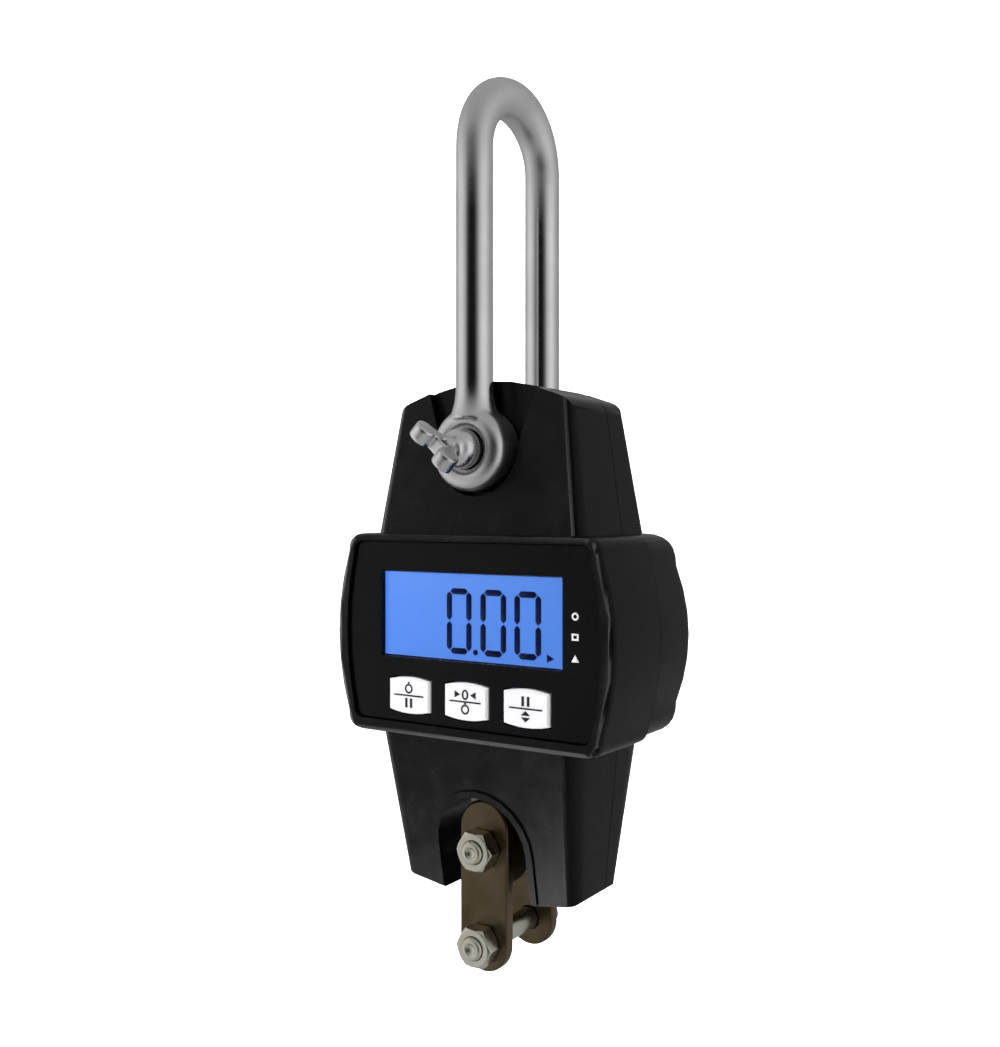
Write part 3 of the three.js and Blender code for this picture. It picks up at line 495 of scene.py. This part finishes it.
def build_unit_marks():
    """Three plain marks beside the display, where the real scale names its units."""
    data = bmesh.new()
    x = UNIT["x"]
    high, middle, low = UNIT["z"]
    ring_slab(data, circle(x, high, 0.8), circle(x, high, 0.4), MARK_Y)
    ring_slab(data, rectangle(x, middle, 0.8, 0.7), rectangle(x, middle, 0.42, 0.32), MARK_Y)
    slab(data, [(x - 0.9, low - 0.7), (x + 0.9, low - 0.7), (x, low + 0.8)], MARK_Y)
    piece_from("unit_marks", data, MARK, "housing")


def power_sign(data, x, z):
    ring_slab(data, circle(x, z, 1.05), circle(x, z, 0.68), LEGEND_Y)
    slab(data, rectangle(x, z + 1.3, 0.22, 0.2), LEGEND_Y)


def zero_sign(data, x, z):
    outer = [(x + 0.75 * (u - x), v) for u, v in circle(x, z, 1.1)]
    inner = [(x + 0.6 * (u - x), v) for u, v in circle(x, z, 0.72)]
    ring_slab(data, outer, inner, LEGEND_Y)
    for side in (-1, 1):
        tip, tail = x + side * 1.3, x + side * 2.7
        slab(data, [(tip, z), (tail, z - 0.75), (tail, z + 0.75)], LEGEND_Y)


def hold_sign(data, x, z):
    for side in (-1, 1):
        slab(data, rectangle(x + side * 0.65, z, 0.3, 1.0), LEGEND_Y)


def change_sign(data, x, z):
    for side in (-1, 1):
        slab(data, [(x - 1.1, z + 0.2 * side), (x + 1.1, z + 0.2 * side), (x, z + 1.15 * side)], LEGEND_Y)


def build_legends():
    """A dividing line on each key, with a plain sign above it and one below."""
    signs = {
        "key_1": (power_sign, hold_sign),
        "key_2": (zero_sign, power_sign),
        "key_3": (hold_sign, change_sign),
    }
    for key, (above, below) in signs.items():
        data = bmesh.new()
        x = KEY_X[key]
        slab(data, rectangle(x, KEY_Z, 4.0, 0.16), LEGEND_Y)
        above(data, x, KEY_Z + 1.5)
        below(data, x, KEY_Z - 1.6)
        piece_from(f"{key}_legend", data, LEGEND, key)


# ---- studio -----------------------------------------------------------------------------------
def build_camera():
    data = bpy.data.cameras.new("camera")
    data.sensor_width = 36
    data.lens = CAMERA["lens"]
    data.shift_y = CAMERA["shift_y"]
    data.clip_start = 0.01
    camera = bpy.data.objects.new("camera", data)
    camera.location = at(*CAMERA["place"])
    camera.rotation_euler = (math.radians(90), 0, math.radians(CAMERA["yaw"]))
    bpy.context.scene.collection.objects.link(camera)
    bpy.context.scene.camera = camera


def area_light(name, place, target, size, power, mirrored=False):
    data = bpy.data.lights.new(name, "AREA")
    data.shape = "RECTANGLE"
    data.size, data.size_y = size
    data.energy = power
    light = bpy.data.objects.new(name, data)
    light.location = place
    aim = Vector(target) - Vector(place)
    light.rotation_euler = aim.to_track_quat("-Z", "Y").to_euler()
    light.visible_glossy = mirrored
    bpy.context.scene.collection.objects.link(light)
    return light


def build_stage():
    """A pale floor that sweeps up behind the scale."""
    mesh = bpy.data.meshes.new("floor")
    grid = bmesh.new()
    bend, sweep, half_width = FLOOR["bend"], FLOOR["sweep"], FLOOR["half_width"]
    section = [(FLOOR["front"], 0.0), (bend, 0.0)]
    for i in range(1, 11):
        angle = math.radians(9 * i)
        section.append((bend + sweep * math.sin(angle), sweep - sweep * math.cos(angle)))
    section.append((bend + sweep, FLOOR["height"]))
    rows = []
    for y, z in section:
        rows.append([grid.verts.new((x, y, z - FLOOR["drop"])) for x in (-half_width, half_width)])
    for low, high in zip(rows, rows[1:]):
        grid.faces.new((low[0], low[1], high[1], high[0]))
    grid.to_mesh(mesh)
    grid.free()
    mesh.polygons.foreach_set("use_smooth", [True] * len(mesh.polygons))
    floor = bpy.data.objects.new("floor", mesh)
    floor.rotation_euler.z = math.radians(CAMERA["yaw"])
    bpy.context.scene.collection.objects.link(floor)
    material, tree, bsdf = shader("floor_white", (0.9, 0.9, 0.9), 0.7)
    tint(tree, bsdf, noise(tree, 3), (0.89, 0.89, 0.89), (0.91, 0.91, 0.91))
    mesh.materials.append(material)
    floor.visible_glossy = False


def build_world():
    """A soft room for light and reflections, dark on one side, seen directly as a plain pale backdrop."""
    world = bpy.data.worlds.new("studio")
    world.use_nodes = True
    tree = world.node_tree
    place = tree.nodes.new("ShaderNodeTexCoord")
    facing = tree.nodes.new("ShaderNodeVectorMath")
    facing.operation = "DOT_PRODUCT"
    facing.inputs[1].default_value = DARK_SIDE
    tree.links.new(place.outputs["Generated"], facing.inputs[0])
    ramp = tree.nodes.new("ShaderNodeValToRGB")
    for position, _ in ROOM[1:-1]:
        ramp.color_ramp.elements.new(position)
    for element, (position, level) in zip(ramp.color_ramp.elements, ROOM):
        element.position = position
        element.color = (level, level, level, 1)
    tree.links.new(remap(tree, facing.outputs["Value"], -1, 1, 0, 1), ramp.inputs["Fac"])
    split = tree.nodes.new("ShaderNodeSeparateXYZ")
    tree.links.new(place.outputs["Generated"], split.inputs["Vector"])
    steep = tree.nodes.new("ShaderNodeMath")
    steep.operation = "ABSOLUTE"
    tree.links.new(split.outputs["Z"], steep.inputs[0])
    mix = tree.nodes.new("ShaderNodeMixRGB")
    mix.inputs["Color2"].default_value = (ROOM_POLES, ROOM_POLES, ROOM_POLES, 1)
    tree.links.new(remap(tree, steep.outputs["Value"], 0.35, 0.8, 0, 1), mix.inputs["Fac"])
    tree.links.new(ramp.outputs["Color"], mix.inputs["Color1"])
    ray = tree.nodes.new("ShaderNodeLightPath")
    seen = tree.nodes.new("ShaderNodeMixRGB")
    seen.inputs["Color2"].default_value = (BACKDROP, BACKDROP, BACKDROP, 1)
    tree.links.new(ray.outputs["Is Camera Ray"], seen.inputs["Fac"])
    tree.links.new(mix.outputs["Color"], seen.inputs["Color1"])
    tree.links.new(seen.outputs["Color"], tree.nodes["Background"].inputs["Color"])
    bpy.context.scene.world = world


def build_light(case_halves):
    """Soft light from above, behind and in front, and strips that light the case alone."""
    build_world()
    centre = at(0, 0, 0)
    area_light("top", (0, 0, 0.9), centre, (0.9, 0.6), 8)
    area_light("wall", (-0.3, 0.4, 1.4), (-0.9, 1.5, -0.2), (1.6, 1.0), 90)
    area_light("front", (-0.5, -0.62, 0.15), centre, (0.5, 0.5), 3.4)
    lit = bpy.data.collections.new("strips_light_only")
    for half in case_halves:
        lit.objects.link(half)
    for name, direction in STRIPS.items():
        place = centre + Vector(direction).normalized() * STRIP["distance"]
        size = (STRIP["width"], STRIP["length"])
        if direction[2]:
            size = (STRIP["length"], STRIP["width"])
        strip = area_light(name, place, centre, size, STRIP["power"], True)
        strip.light_linking.receiver_collection = lit


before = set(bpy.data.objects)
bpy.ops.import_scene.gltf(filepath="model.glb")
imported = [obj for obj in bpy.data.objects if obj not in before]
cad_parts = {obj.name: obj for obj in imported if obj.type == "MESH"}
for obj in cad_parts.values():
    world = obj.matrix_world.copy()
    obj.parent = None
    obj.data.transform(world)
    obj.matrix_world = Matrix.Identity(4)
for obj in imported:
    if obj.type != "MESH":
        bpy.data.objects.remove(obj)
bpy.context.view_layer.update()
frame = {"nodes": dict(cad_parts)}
dress_nodes(frame["nodes"])
build_shackle()
build_pin()
build_image()
build_unit_marks()
build_legends()
build_camera()
build_stage()
build_light([frame["nodes"][name] for name in ("front_case", "rear_case")])
bpy.context.scene.view_settings.view_transform = "Standard"
